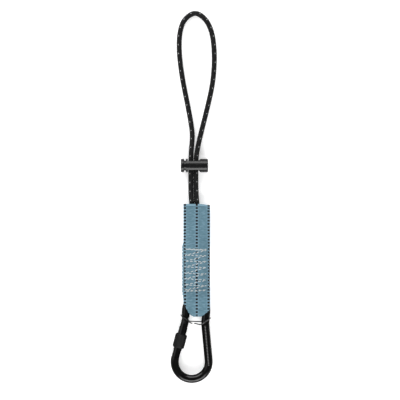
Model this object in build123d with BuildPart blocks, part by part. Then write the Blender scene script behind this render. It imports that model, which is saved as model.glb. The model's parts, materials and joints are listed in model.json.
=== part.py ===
from build123d import *
from math import acos, atan2, cos, degrees, hypot, pi, radians, sin, sqrt, tan
import os

# A tool tether, lying flat on its back: +Y runs from the carabiner to the top
# of the cord loop, +Z points up from the surface. The origin is under the
# middle of the strap and the carabiner together. Millimetres throughout.

os.makedirs("parts", exist_ok=True)

# ---- driving dimensions ------------------------------------------------

# carabiner, in its own plane: origin at the middle of the wide bow
bow_y = -66.1              # middle of the wide bow
carabiner_lean = 5.0       # degrees, how far its long axis leans to +X
bar_diameter = 7.8
bow_radius = 16.4          # wide bow, to the middle of the bar
eye_radius = 9.8           # narrow end, to the middle of the bar
eye_height = 50.6          # middle of the eye above the middle of the bow
hinge_height = 38.0        # where the straight legs of the eye end
knee_radius = 14.0         # bend between the eye's leg and the spine

# gate, its hinge and its latch
gate_diameter = 8.0
gate_gap = 0.4             # between the gate and the frame, at both ends
fork_slot = 3.2
tongue_thickness = 2.8
tongue_radius = 3.2        # rounded end of the hinge tongue
rivet_diameter = 2.6
rivet_head = 0.15          # how far it stands out of the gate's fork
latch_pin_diameter = 2.2
latch_pin_inset = 3.2      # from the gate's free end
latch_fork_depth = 6.6     # slot in the gate's free end
nose_width = 5.6
nose_length = 5.6
tongue_root = 2.0          # how far a tongue runs into the bar
hook_clearance = 0.16      # round the latch pin in the hook
hinge_slot_depth = 5.2
spring_bore_diameter = 4.6
spring_bore_end = 20.0
spring_turns = 7
spring_wire = 0.45
plunger_nib_diameter = 2.4
plunger_head_diameter = 4.2
plunger_head_length = 3.0
pin_clearance = 0.03       # radial, a pin held in its hole
running_clearance = 0.08   # radial, a pin that turns in its hole
close_gap = 0.15           # between two inner pieces that nearly touch

# screw sleeve over the gate
sleeve_wall = 1.35
sleeve_length = 13.5
sleeve_start = 12.2        # from the hinge to the sleeve, unscrewed
sleeve_clearance = 0.35
sleeve_chamfer = 0.9
sleeve_flutes = 30
flute_radius = 0.3

# wire keeper across the neck of the eye
keeper_wire = 1.1
keeper_bend = 1.0
keeper_clearance = 0.35
keeper_reach = 14.5        # how far its outer bends stand from the middle

# strap
strap_width = 25.0
strap_center_x = 4.65
strap_top = 86.3
webbing_thickness = 1.5
bar_room = 0.35            # between the webbing and the bar
fold_tip = -22.5           # lowest point of the strap's fold
fold_left = -1.1           # sides of the fold where it is squeezed together
fold_right = 9.3
fold_shoulder_left = -10.2
fold_shoulder_right = -16.3
fold_corner_left = -19.5     # where each side is fully narrowed
fold_corner_right = -21.0
ramp_start = -4.5          # the front layer comes down from the bar
ramp_end = 2.0

# stitching
stitch_top = 42.3
stitch_bottom = 2.8
stitch_left = -5.3
stitch_right = 13.7
stitch_rows = 6
stitch_slip = 0.9          # a row's fall from left to right
thread_width = 0.8
thread_height = 0.35
thread_gap = 0.02

# cord
cord_diameter = 4.5
pocket_air = 0.1           # between the cord and the webbing
tail_end = 8.0
tail_drift = 1.6           # the tails lean this far to +X on their way down
strand_left = -0.9         # X of the two strands inside the lock
strand_right = 4.1
exit_left = -0.2           # X of the two strands at the strap's end
exit_right = 5.7

# barrel lock on the cord
lock_y = 123.3
lock_x_left = -5.6         # end of the barrel at the button
lock_x_right = 15.8        # closed end of the barrel
lock_diameter = 13.3
saddle_left = -3.6
saddle_right = 6.5
saddle_width = 8.7
shoulder_run = 2.0         # slope from the saddle to the closed end
lock_bore_diameter = 10.2
lock_wall = 1.7
lock_edge = 1.1
stem_clearance = 0.2
button_gap = 1.7           # neck between the button and the barrel
button_thickness = 3.1
button_travel = 1.5
stem_wall = 2.4            # solid end of the stem behind its slot
passage_room = 1.7         # in height, beyond the cord's own diameter
passage_clearance = 0.35
lock_spring_turns = 3
lock_spring_wire = 0.8

# ---- planes and places worked out from them ----------------------------

bar_radius = bar_diameter / 2
gate_radius = gate_diameter / 2
cord_radius = cord_diameter / 2
sleeve_diameter = gate_diameter + 2 * (sleeve_clearance + sleeve_wall)
passage_height = cord_diameter + passage_room
mid_z = sleeve_diameter / 2 + 0.05
carabiner_plane = Plane(
    origin=(0, bow_y, mid_z),
    x_dir=(cos(radians(carabiner_lean)), -sin(radians(carabiner_lean)), 0),
    z_dir=(0, 0, 1),
)

# the gate and the spine are tangents of the bow, at this slope to its axis
knee_distance = hypot(eye_radius, hinge_height)
side_slope = atan2(hinge_height, eye_radius) - acos(bow_radius / knee_distance)
side_length = sqrt(knee_distance**2 - bow_radius**2)
gate_length = side_length - 2 * gate_gap
nose_start = gate_length + gate_gap
gate_plane = Plane(
    carabiner_plane.location
    * Location((-eye_radius, hinge_height, 0), (0, 0, -90 - degrees(side_slope)))
)


def gate_section(distance):
    """Plane across the gate, this far from its hinge."""
    center = gate_plane.from_local_coords(Vector(distance, 0, 0))
    return Plane(origin=center, x_dir=gate_plane.y_dir, z_dir=gate_plane.x_dir)


def bar_outline():
    """Middle of the bar, from the hinge round the eye and the bow to the nose."""
    touch = (bow_radius * cos(side_slope), bow_radius * sin(side_slope))
    nose = (
        -eye_radius - nose_start * sin(side_slope),
        hinge_height - nose_start * cos(side_slope),
    )
    knee = knee_radius * tan(side_slope / 2)
    Line((-eye_radius, hinge_height + gate_radius + gate_gap), (-eye_radius, eye_height))
    ThreePointArc((-eye_radius, eye_height), (0, eye_height + eye_radius), (eye_radius, eye_height))
    Line((eye_radius, eye_height), (eye_radius, hinge_height + knee))
    knee_exit = (eye_radius + knee * sin(side_slope), hinge_height - knee * cos(side_slope))
    JernArc(
        start=(eye_radius, hinge_height + knee),
        tangent=(0, -1),
        radius=knee_radius,
        arc_size=degrees(side_slope),
    )
    Line(knee_exit, touch)
    ThreePointArc(touch, (0, -bow_radius), (-touch[0], touch[1]))
    Line((-touch[0], touch[1]), nose)


# ---- carabiner frame: one bent bar with a tongue at each end -----------

with BuildPart() as carabiner_frame:
    with BuildLine(carabiner_plane) as bar_path:
        bar_outline()
    with BuildSketch(Plane(origin=bar_path.line @ 0, z_dir=bar_path.line % 0)):
        Circle(bar_radius)
    sweep(path=bar_path.line)
    # hinge tongue, rounded about the rivet
    with BuildSketch(carabiner_plane.offset(-tongue_thickness / 2)):
        with Locations((-eye_radius, hinge_height)):
            Circle(tongue_radius)
        with Locations((-eye_radius, hinge_height + (gate_radius + tongue_root) / 2)):
            Rectangle(2 * tongue_radius, gate_radius + tongue_root)
    extrude(amount=tongue_thickness)
    with BuildSketch(carabiner_plane.offset(-tongue_thickness)):
        with Locations((-eye_radius, hinge_height)):
            Circle(rivet_diameter / 2 + pin_clearance)
    extrude(amount=2 * tongue_thickness, mode=Mode.SUBTRACT)
    # nose tongue, a hook that opens towards the inside
    with BuildSketch(gate_plane.offset(-tongue_thickness / 2)):
        with Locations((nose_start + (tongue_root - nose_length) / 2, 0)):
            Rectangle(nose_length + tongue_root, nose_width)
        with Locations((gate_length - latch_pin_inset, nose_width / 2)):
            Rectangle(latch_pin_diameter + 2 * hook_clearance, nose_width, mode=Mode.SUBTRACT)
        with Locations((gate_length - latch_pin_inset, 0)):
            Circle(latch_pin_diameter / 2 + hook_clearance, mode=Mode.SUBTRACT)
    extrude(amount=tongue_thickness)

# ---- gate: a forked tube with a blind bore for its spring --------------

with BuildPart() as gate:
    with BuildSketch(gate_section(-gate_radius)):
        Circle(gate_radius)
    extrude(amount=gate_radius + gate_length)
    with BuildSketch(gate_plane.offset(-gate_diameter)):
        Circle(gate_radius)
        with Locations((gate_length / 2 + 1, 0)):
            Rectangle(gate_length + 2, gate_diameter + 2)
    extrude(amount=2 * gate_diameter, mode=Mode.INTERSECT)
    with BuildSketch(gate_plane.offset(-fork_slot / 2)):
        with Locations(((hinge_slot_depth - gate_diameter) / 2, 0)):
            Rectangle(hinge_slot_depth + gate_diameter, gate_diameter + 2)
        with Locations((gate_length + 1 - latch_fork_depth / 2, 0)):
            Rectangle(latch_fork_depth + 2, gate_diameter + 2)
    extrude(amount=fork_slot, mode=Mode.SUBTRACT)
    with BuildSketch(gate_section(hinge_slot_depth - 0.2)):
        Circle(spring_bore_diameter / 2)
    extrude(amount=spring_bore_end - hinge_slot_depth + 0.2, mode=Mode.SUBTRACT)
    with BuildSketch(gate_plane.offset(-gate_diameter)):
        Circle(rivet_diameter / 2 + running_clearance)
        with Locations((gate_length - latch_pin_inset, 0)):
            Circle(latch_pin_diameter / 2 + pin_clearance)
    extrude(amount=2 * gate_diameter, mode=Mode.SUBTRACT)

with BuildPart() as hinge_rivet:
    with BuildSketch(gate_plane.offset(-gate_radius - rivet_head)):
        Circle(rivet_diameter / 2)
    extrude(amount=gate_diameter + 2 * rivet_head)
    chamfer(hinge_rivet.edges().filter_by(GeomType.CIRCLE), rivet_head)

with BuildPart() as latch_pin:
    with BuildSketch(gate_plane.offset(-gate_radius + close_gap)):
        with Locations((gate_length - latch_pin_inset, 0)):
            Circle(latch_pin_diameter / 2)
    extrude(amount=gate_diameter - 2 * close_gap)

# the gate's spring plunger bears on the rounded end of the hinge tongue
nib_start = tongue_radius + close_gap
head_start = hinge_slot_depth + 0.4
head_end = head_start + plunger_head_length
with BuildPart() as gate_plunger:
    with BuildSketch(gate_section(nib_start)):
        Circle(plunger_nib_diameter / 2)
    extrude(amount=head_start - nib_start)
    with BuildSketch(gate_section(head_start)):
        Circle(plunger_head_diameter / 2)
    extrude(amount=plunger_head_length)

spring_radius = (spring_bore_diameter - spring_wire) / 2 - close_gap
spring_room = spring_bore_end - head_end - spring_wire - 2 * close_gap
with BuildPart() as gate_spring:
    with BuildLine() as coil:
        Helix(
            pitch=spring_room / spring_turns,
            height=spring_room,
            radius=spring_radius,
            center=gate_section(head_end + spring_wire / 2 + close_gap).origin,
            direction=gate_plane.x_dir,
        )
    with BuildSketch(Plane(origin=coil.line @ 0, z_dir=coil.line % 0)):
        Circle(spring_wire / 2)
    sweep(path=coil.line, is_frenet=True)

# ---- screw sleeve: a fluted nut that runs along the gate ---------------

with BuildPart() as screw_sleeve:
    with BuildSketch(gate_section(sleeve_start)):
        Circle(sleeve_diameter / 2)
        Circle(gate_radius + sleeve_clearance, mode=Mode.SUBTRACT)
    extrude(amount=sleeve_length)
    rims = screw_sleeve.edges().filter_by(GeomType.CIRCLE)
    chamfer(rims.filter_by(lambda rim: rim.radius > sleeve_diameter / 2 - 0.1), sleeve_chamfer)
    with BuildSketch(gate_section(sleeve_start + 1.5 * sleeve_chamfer)):
        with PolarLocations(sleeve_diameter / 2, sleeve_flutes):
            Circle(flute_radius)
    extrude(amount=sleeve_length - 3 * sleeve_chamfer, mode=Mode.SUBTRACT)

# ---- wire keeper: one wire bent round both legs of the eye -------------

over = gate_radius + keeper_clearance + keeper_wire / 2     # height of the wire over a leg
inner = eye_radius - bar_radius - keeper_wire - 0.1         # where it drops between the legs
keeper_points = (
    (-2.9, hinge_height - 1.0, -0.9),
    (-inner, hinge_height - 0.8, -0.66 * over),
    (-inner - 1.5, hinge_height, -over),
    (1.5 - keeper_reach, hinge_height + 5.3, -over),
    (-keeper_reach, hinge_height + 6.2, 0),
    (1.5 - keeper_reach, hinge_height + 5.6, over),
    (-inner - 1.5, hinge_height + 1.7, over),
    (-inner, hinge_height + 1.3, 0.66 * over),
    (inner, hinge_height + 1.1, -0.66 * over),
    (inner + 1.5, hinge_height + 1.5, -over),
    (keeper_reach - 1.5, hinge_height + 5.0, -over),
    (keeper_reach, hinge_height + 5.8, 0),
    (keeper_reach - 1.5, hinge_height + 4.9, over),
    (inner + 1.5, hinge_height - 0.6, over),
    (inner, hinge_height - 1.1, 0.6 * over),
    (-0.6, hinge_height - 0.6, 0.3),
)
with BuildPart() as wire_keeper:
    with BuildLine() as keeper_path:
        FilletPolyline(
            *[carabiner_plane.from_local_coords(Vector(*point)) for point in keeper_points],
            radius=keeper_bend,
        )
    with BuildSketch(Plane(origin=keeper_path.line @ 0, z_dir=keeper_path.line % 0)):
        Circle(keeper_wire / 2)
    sweep(path=keeper_path.line)

# ---- strap: one strip of webbing folded through the eye ----------------

front_inside = webbing_thickness + cord_diameter + 2 * pocket_air
over_bar = mid_z + bar_radius + bar_room + 0.05
strap_left = strap_center_x - strap_width / 2
strap_right = strap_center_x + strap_width / 2


def loop_side(inset):
    """Closed side view of the folded strip, this far inside its outer face."""
    low = inset
    high = over_bar + webbing_thickness - inset
    flat = front_inside + webbing_thickness - inset
    tip_radius = (high - low) / 2
    tip_y = fold_tip + inset + tip_radius
    Line((strap_top + inset, low), (tip_y, low))
    ThreePointArc((tip_y, low), (tip_y - tip_radius, (low + high) / 2), (tip_y, high))
    Line((tip_y, high), (ramp_start, high))
    Spline(
        (ramp_start, high),
        (ramp_end, flat),
        tangents=[(1, 0), (1, 0)],
    )
    Line((ramp_end, flat), (strap_top + inset, flat))
    Line((strap_top + inset, flat), (strap_top + inset, low))


with BuildPart() as webbing_strap:
    with BuildSketch(Plane.YZ.offset(strap_left)):
        with BuildLine():
            loop_side(0)
        make_face()
        with BuildLine():
            loop_side(webbing_thickness)
        make_face(mode=Mode.SUBTRACT)
    extrude(amount=strap_width)
    # both layers end at the cord
    with BuildSketch(Plane.XZ.offset(-strap_top)):
        with Locations((strap_center_x, mid_z)):
            Rectangle(2 * strap_width, 4 * mid_z)
    extrude(amount=-2 * webbing_thickness, mode=Mode.SUBTRACT)
    # the shoulders narrow to a fold that passes between the legs
    with BuildSketch(Plane.XY.offset(-1)):
        with BuildLine():
            Polyline(
                (strap_left, strap_top + 1),
                (strap_left, fold_shoulder_left),
                (fold_left, fold_corner_left),
                (fold_left, fold_tip - 1),
                (fold_right, fold_tip - 1),
                (fold_right, fold_corner_right),
                (strap_right, fold_shoulder_right),
                (strap_right, strap_top + 1),
                close=True,
            )
        make_face()
    extrude(amount=4 * mid_z, mode=Mode.INTERSECT)
    # room for the bar wherever the webbing bears on it
    with BuildLine(carabiner_plane) as room_path:
        bar_outline()
    with BuildSketch(Plane(origin=room_path.line @ 0, z_dir=room_path.line % 0)):
        Circle(bar_radius + bar_room)
    sweep(path=room_path.line, mode=Mode.SUBTRACT)

# ---- zigzag stitching through both layers ------------------------------

stitch_pitch = (stitch_top - stitch_bottom) / (stitch_rows + 1)
stitch_points = [(stitch_left, stitch_top), (stitch_right, stitch_top - stitch_slip)]
for row in range(1, stitch_rows + 1):
    row_y = stitch_top - row * stitch_pitch
    stitch_points.append((stitch_left, row_y))
    stitch_points.append((stitch_right, row_y - stitch_slip))
stitch_points.append((stitch_left, stitch_bottom))
stitch_points.append((stitch_right, stitch_bottom))

with BuildPart() as zigzag_stitching:
    with BuildSketch(Plane.XY.offset(front_inside + webbing_thickness + thread_gap)):
        for start, stop in zip(stitch_points, stitch_points[1:]):
            run = Vector(*stop) - Vector(*start)
            with Locations((Vector(*start) + Vector(*stop)) / 2):
                SlotOverall(
                    run.length + thread_width,
                    thread_width,
                    rotation=degrees(atan2(run.Y, run.X)),
                )
    extrude(amount=thread_height)

# ---- cord: a loop through the lock, and two tails in the pocket --------

pocket_z = webbing_thickness + pocket_air + cord_radius
lock_z = lock_diameter / 2
ground_z = cord_radius + 0.05
cord_route = [
    (exit_left, strap_top, pocket_z),
    (strand_left, 103.0, lock_z),
    (strand_left, 136.0, lock_z),
    (2.2, 153.5, 3.9),
    (-3.2, 180.0, ground_z),
    (-8.4, 205.0, ground_z),
    (-11.9, 228.5, ground_z),
    (-12.3, 246.2, ground_z),
    (-9.5, 262.3, ground_z),
    (-4.4, 268.6, ground_z),
    (3.2, 271.4, ground_z),
    (11.0, 269.8, ground_z),
    (16.8, 264.2, ground_z),
    (20.9, 249.4, ground_z),
    (22.5, 226.5, ground_z),
    (20.4, 202.0, ground_z),
    (14.6, 177.0, ground_z),
    (8.8, 153.0, 3.9),
    (strand_right, 135.0, lock_z),
    (strand_right, 103.0, lock_z),
    (exit_right, strap_top, pocket_z),
]


def corner_radii(points):
    """Radius at each corner: 0.45 of the shorter run over tan(half the turn)."""
    radii = []
    for before, corner, after in zip(points, points[1:], points[2:]):
        run_in = Vector(*corner) - Vector(*before)
        run_out = Vector(*after) - Vector(*corner)
        turn = radians(run_in.get_angle(run_out))
        shorter = min(run_in.length, run_out.length)
        radii.append(0.45 * shorter / tan(turn / 2))
    return radii


cord_radii = corner_radii(cord_route)
with BuildPart() as cord_loop:
    with BuildLine() as cord_path:
        FilletPolyline(*cord_route, radius=cord_radii)
    with BuildSketch(Plane(origin=cord_path.line @ 0, z_dir=cord_path.line % 0)):
        Circle(cord_radius)
    sweep(path=cord_path.line)
    # the strap's end trims the tube square
    with BuildSketch(Plane.XZ.offset(-strap_top)):
        with Locations(((exit_left + exit_right) / 2, pocket_z)):
            Rectangle(4 * cord_diameter, 4 * cord_diameter)
    extrude(amount=cord_diameter, mode=Mode.SUBTRACT)

tails = {}
for tail_name, exit_x in (("cord_tail_left", exit_left), ("cord_tail_right", exit_right)):
    with BuildPart() as tail:
        with BuildSketch(Plane.XZ.offset(-tail_end)):
            with Locations((exit_x + tail_drift, pocket_z)):
                Circle(cord_radius)
        with BuildSketch(Plane.XZ.offset(-strap_top)):
            with Locations((exit_x, pocket_z)):
                Circle(cord_radius)
        loft()
    tails[tail_name] = tail

# ---- barrel lock: a sprung plunger that grips both strands -------------

stem_diameter = lock_bore_diameter - 2 * stem_clearance
bore_end = lock_x_right - lock_wall
slot_left = strand_left - cord_radius - passage_clearance - button_travel
slot_right = saddle_right + passage_clearance
stem_end = slot_right + stem_wall
button_right = lock_x_left - button_gap


def lock_section(x):
    """Plane across the lock at this X, centred on its axis."""
    return Plane(origin=(x, lock_y, lock_z), x_dir=(0, 1, 0), z_dir=(1, 0, 0))


with BuildPart() as lock_barrel:
    with BuildSketch(lock_section(lock_x_left)):
        Circle(lock_diameter / 2)
    extrude(amount=lock_x_right - lock_x_left)
    closed_rim = lock_barrel.edges().filter_by(GeomType.CIRCLE).sort_by(Axis.X)[-1]
    fillet(closed_rim, lock_edge)
    with BuildSketch(lock_section(lock_x_left)):
        Circle(lock_bore_diameter / 2)
    extrude(amount=bore_end - lock_x_left, mode=Mode.SUBTRACT)
    # saddles where the strands cross, with a slope up to the closed end
    for side in (-1, 1):
        with BuildSketch(Plane.XY):
            with BuildLine():
                Polyline(
                    (saddle_left, lock_y + side * saddle_width / 2),
                    (saddle_right, lock_y + side * saddle_width / 2),
                    (saddle_right + shoulder_run, lock_y + side * lock_diameter / 2),
                    (saddle_right + shoulder_run, lock_y + side * lock_diameter),
                    (saddle_left, lock_y + side * lock_diameter),
                    close=True,
                )
            make_face()
        extrude(amount=lock_diameter + 1, mode=Mode.SUBTRACT)
    # passage for the strands
    with BuildSketch(Plane.XZ.offset(-lock_y)):
        with Locations(((saddle_left + saddle_right) / 2, lock_z)):
            Rectangle(saddle_right - saddle_left, passage_height)
    extrude(amount=lock_diameter, both=True, mode=Mode.SUBTRACT)

with BuildPart() as lock_plunger:
    with BuildSketch(lock_section(button_right - button_thickness)):
        Circle(lock_diameter / 2)
    extrude(amount=button_thickness)
    fillet(lock_plunger.edges().filter_by(GeomType.CIRCLE), lock_edge / 2)
    with BuildSketch(lock_section(button_right)):
        Circle(stem_diameter / 2)
    extrude(amount=stem_end - button_right)
    with BuildSketch(Plane.XZ.offset(-lock_y)):
        with Locations(((slot_left + slot_right) / 2, lock_z)):
            Rectangle(slot_right - slot_left, passage_height)
    extrude(amount=lock_diameter, both=True, mode=Mode.SUBTRACT)

lock_spring_room = bore_end - stem_end - lock_spring_wire - 2 * close_gap
with BuildPart() as lock_spring:
    with BuildLine() as lock_coil:
        Helix(
            pitch=lock_spring_room / lock_spring_turns,
            height=lock_spring_room,
            radius=(lock_bore_diameter - lock_spring_wire) / 2 - 3 * close_gap,
            center=(stem_end + lock_spring_wire / 2 + close_gap, lock_y, lock_z),
            direction=(1, 0, 0),
        )
    with BuildSketch(Plane(origin=lock_coil.line @ 0, z_dir=lock_coil.line % 0)):
        Circle(lock_spring_wire / 2)
    sweep(path=lock_coil.line, is_frenet=True)

# ---- hand over ----------------------------------------------------------

pieces = {
    "webbing_strap": webbing_strap,
    "zigzag_stitching": zigzag_stitching,
    "cord_loop": cord_loop,
    "cord_tail_left": tails["cord_tail_left"],
    "cord_tail_right": tails["cord_tail_right"],
    "lock_barrel": lock_barrel,
    "lock_plunger": lock_plunger,
    "lock_spring": lock_spring,
    "carabiner_frame": carabiner_frame,
    "gate": gate,
    "hinge_rivet": hinge_rivet,
    "latch_pin": latch_pin,
    "gate_plunger": gate_plunger,
    "gate_spring": gate_spring,
    "screw_sleeve": screw_sleeve,
    "wire_keeper": wire_keeper,
}
for node_name, piece in pieces.items():
    piece.part.label = node_name
    export_step(piece.part, f"parts/{node_name}.step")

cord_length = sum(edge.length for edge in cord_path.edges())
section = pi * cord_radius**2
print("cord corner radii", [round(radius, 1) for radius in cord_radii])
print(f"cord length {cord_length:.1f} mm")
print(f"cord volume {cord_loop.part.volume:.0f} against {section * cord_length:.0f} mm3")
print("gate hinge at", gate_plane.origin, "along", gate_plane.x_dir)
print(f"gate length {gate_length:.2f}, slope {degrees(side_slope):.2f} degrees")
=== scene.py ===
# %% [markdown]
# # A tool tether
# A strap of 25 mm webbing is folded round the eye of a screw-lock carabiner.
# A loop of braided cord is sewn into its other end, and a barrel lock slides
# on the loop. The CAD frame gives every place and size; this script gives the
# surfaces. Lengths are in metres, and MM turns a maker's millimetres into them.

import json
import math

import bpy
import numpy as np
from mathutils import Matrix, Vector


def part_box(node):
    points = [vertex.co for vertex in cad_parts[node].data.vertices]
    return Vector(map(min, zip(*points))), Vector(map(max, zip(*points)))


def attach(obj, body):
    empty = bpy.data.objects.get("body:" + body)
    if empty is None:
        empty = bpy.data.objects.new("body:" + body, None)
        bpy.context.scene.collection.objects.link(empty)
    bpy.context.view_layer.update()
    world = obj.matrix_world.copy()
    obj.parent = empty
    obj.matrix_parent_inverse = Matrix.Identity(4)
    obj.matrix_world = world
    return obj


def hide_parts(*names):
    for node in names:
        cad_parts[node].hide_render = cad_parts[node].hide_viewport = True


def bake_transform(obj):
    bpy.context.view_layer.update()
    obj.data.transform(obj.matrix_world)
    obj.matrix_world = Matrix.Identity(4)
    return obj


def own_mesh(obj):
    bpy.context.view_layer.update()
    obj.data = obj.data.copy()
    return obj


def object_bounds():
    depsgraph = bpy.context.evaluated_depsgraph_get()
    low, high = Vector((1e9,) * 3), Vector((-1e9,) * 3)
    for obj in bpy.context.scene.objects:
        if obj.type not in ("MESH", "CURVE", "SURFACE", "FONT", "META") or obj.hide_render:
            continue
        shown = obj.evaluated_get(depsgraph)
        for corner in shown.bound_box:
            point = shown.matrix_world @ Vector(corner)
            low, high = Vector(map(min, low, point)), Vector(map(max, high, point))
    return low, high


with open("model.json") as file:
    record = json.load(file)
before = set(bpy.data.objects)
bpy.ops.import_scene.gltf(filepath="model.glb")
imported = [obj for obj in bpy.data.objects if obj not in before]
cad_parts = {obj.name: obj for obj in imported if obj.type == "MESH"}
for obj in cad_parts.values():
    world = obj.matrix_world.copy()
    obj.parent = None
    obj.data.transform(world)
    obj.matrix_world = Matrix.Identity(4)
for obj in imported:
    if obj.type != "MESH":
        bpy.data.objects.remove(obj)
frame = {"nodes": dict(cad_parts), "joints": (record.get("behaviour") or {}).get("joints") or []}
cad_low, cad_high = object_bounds()
MM = 0.001
joints = {joint["name"]: joint for joint in frame["joints"]}
print("CAD box in mm:", [round(v / MM, 1) for v in (*cad_low, *cad_high)])

# %% [markdown]
# ## Camera
# The tether lies flat and is seen from straight above. A long lens far away
# keeps thick and thin pieces at the same scale, as a product shot does. The
# distance follows from the width that the frame has to take in.

# %% Camera
VIEW_WIDTH = 388 * MM
LENS = 100.0
SENSOR = 36.0
LOOK_SHIFT = np.array([6.0, -3.3]) * MM     # the object stands left of the middle, and above it

camera_data = bpy.data.cameras.new("camera")
camera_data.lens = LENS
camera_data.sensor_width = SENSOR
camera_data.clip_start = 0.05
camera = bpy.data.objects.new("camera", camera_data)
bpy.context.scene.collection.objects.link(camera)
look = (np.array(cad_low)[:2] + np.array(cad_high)[:2]) / 2 + LOOK_SHIFT
camera.location = (look[0], look[1], VIEW_WIDTH * LENS / SENSOR)
bpy.context.scene.camera = camera
print("camera stands", round(camera.location.z, 3), "m above the floor")

# %% [markdown]
# ## Meshes from grids
# Every new piece is a ring of points carried along a path. One function turns
# a whole grid of rings into a closed mesh: quads between the rings, and a fan
# of triangles over each end, or the last ring joined to the first. The signed
# volume tells whether the faces point outwards, and the grid is turned over if
# they don't.


# %% Grid to closed mesh
def closed_mesh(name, rings, uv, material, joined=False):
    """rings is (n, m, 3): n rings of m points, with a fan over each end, or joined end to end.

    uv has one more column than rings, and one more row if joined, so that each seam has its own values."""
    count, around = rings.shape[:2]
    middles = np.stack([rings[0].mean(0), rings[-1].mean(0)])
    verts = rings.reshape(-1, 3) if joined else np.vstack([rings.reshape(-1, 3), middles])
    here = np.arange(count * around).reshape(count, around)
    here = np.vstack([here, here[:1]]) if joined else here
    beside = np.roll(here, -1, axis=1)
    quads = np.stack([here[:-1], here[1:], beside[1:], beside[:-1]], -1).reshape(-1, 4)
    first_fan = np.stack([here[0], beside[0], np.full(around, count * around)], -1)
    last_fan = np.stack([beside[-1], here[-1], np.full(around, count * around + 1)], -1)

    corner = np.arange(uv.shape[0] * (around + 1)).reshape(-1, around + 1)
    quad_uv = np.stack([corner[:-1, :-1], corner[1:, :-1], corner[1:, 1:], corner[:-1, 1:]], -1)
    first_uv = np.stack([corner[0, :-1], corner[0, 1:], corner[0, :-1]], -1)
    last_uv = np.stack([corner[-1, 1:], corner[-1, :-1], corner[-1, :-1]], -1)
    fans, fan_uv = np.vstack([first_fan, last_fan]), np.vstack([first_uv, last_uv])
    if joined:
        fans, fan_uv = fans[:0], fan_uv[:0]

    triangles = np.vstack([quads[:, [0, 1, 2]], quads[:, [0, 2, 3]], fans])
    a, b, c = (verts[triangles[:, k]] for k in range(3))
    if np.einsum("ij,ij->i", a, np.cross(b, c)).sum() < 0:
        quads, fans, quad_uv, fan_uv = quads[:, ::-1], fans[:, ::-1], quad_uv[..., ::-1], fan_uv[:, ::-1]

    mesh = bpy.data.meshes.new(name)
    loops = np.concatenate([quads.ravel(), fans.ravel()])
    starts = np.concatenate([np.arange(len(quads)) * 4, 4 * len(quads) + np.arange(len(fans)) * 3])
    mesh.vertices.add(len(verts))
    mesh.vertices.foreach_set("co", verts.astype(np.float32).ravel())
    mesh.loops.add(len(loops))
    mesh.loops.foreach_set("vertex_index", loops.astype(np.int32))
    mesh.polygons.add(len(starts))
    mesh.polygons.foreach_set("loop_start", starts.astype(np.int32))
    mesh.update(calc_edges=True)
    mesh.polygons.foreach_set("use_smooth", np.ones(len(starts), bool))
    corners = np.concatenate([quad_uv.reshape(-1), fan_uv.ravel()])
    layer = mesh.uv_layers.new(name="surface")
    layer.data.foreach_set("uv", uv.reshape(-1, 2)[corners].astype(np.float32).ravel())
    mesh.validate()
    mesh.materials.append(material)
    piece = bpy.data.objects.new(name, mesh)
    bpy.context.scene.collection.objects.link(piece)
    print(name, len(verts), "points,", len(quads) * 2 + len(fans), "triangles")
    return piece


# %% Frames along a path
def lengths_along(path):
    """Distance from the first point to each point."""
    steps = np.linalg.norm(np.diff(path, axis=0), axis=1)
    return np.concatenate([[0.0], np.cumsum(steps)])


def evenly(path, spacing):
    """The same line with its points at even distances."""
    along = lengths_along(path)
    places = np.linspace(0, along[-1], int(round(along[-1] / spacing)) + 1)
    return np.stack([np.interp(places, along, path[:, k]) for k in range(3)], -1)


def side_and_top(path, up=(0.0, 0.0, 1.0)):
    """Two directions across the path: level, and as near to up as the path allows."""
    forward = np.gradient(path, axis=0)
    forward /= np.linalg.norm(forward, axis=1, keepdims=True)
    side = np.cross(forward, np.array(up))
    side /= np.linalg.norm(side, axis=1, keepdims=True)
    return side, np.cross(side, forward)


def tube(name, path, around, radius_at, material, up=(0.0, 0.0, 1.0)):
    """A round section carried along the path; radius_at(length, turn) is its radius, turn from 0 to 1."""
    along = lengths_along(path)[:, None]
    turn = np.arange(around)[None, :] / around
    side, top = side_and_top(path, up)
    radius = radius_at(along, turn) * np.ones((len(path), around))
    across = np.cos(2 * np.pi * turn)[..., None] * side[:, None]
    across = across + np.sin(2 * np.pi * turn)[..., None] * top[:, None]
    rings = path[:, None] + radius[..., None] * across
    seam = np.arange(around + 1)[None, :] / around
    uv = np.stack(np.broadcast_arrays(seam, along / MM), -1)
    return closed_mesh(name, rings, uv, material)


# %% [markdown]
# ## Shader helpers
# A material is a small tree of nodes. A few helpers keep it readable: one puts
# a node down with its settings, others do arithmetic, blend two colours or make
# a ramp, and the last two make and place a shared group with named sockets. A
# number that is the same all over a surface is set on the Principled shader
# itself.


# %% Node helpers
def put(tree, kind, inputs=None, **settings):
    """A new node of this kind. inputs maps a socket to a value or to another node's output."""
    node = tree.nodes.new("ShaderNode" + kind)
    for key, value in settings.items():
        setattr(node, key, value)
    for key, value in (inputs or {}).items():
        if isinstance(value, bpy.types.NodeSocket):
            tree.links.new(value, node.inputs[key])
        else:
            node.inputs[key].default_value = value
    return node


def calc(tree, operation, first, second=0.0, third=0.0):
    """One arithmetic step, given by its name."""
    return put(tree, "Math", {0: first, 1: second, 2: third}, operation=operation).outputs[0]


def blend_colors(tree, mask, first, second):
    """The first colour where the mask is 0, and the second where it is 1."""
    node = put(tree, "Mix", {0: mask, 6: first, 7: second}, data_type="RGBA")
    return node.outputs[2]


def ramp(tree, value, start, stop, first, last):
    """A straight climb from first to last as the value goes from start to stop, and level outside."""
    return put(tree, "MapRange", {0: value, 1: start, 2: stop, 3: first, 4: last}).outputs[0]


def color_ramp(tree, value, first, last):
    """Colours between two stops, each a (position, colour) pair."""
    node = put(tree, "ValToRGB", {"Fac": value})
    for element, (position, color) in zip(node.color_ramp.elements, (first, last)):
        element.position = position
        element.color = color
    return node.outputs[0]


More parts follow.
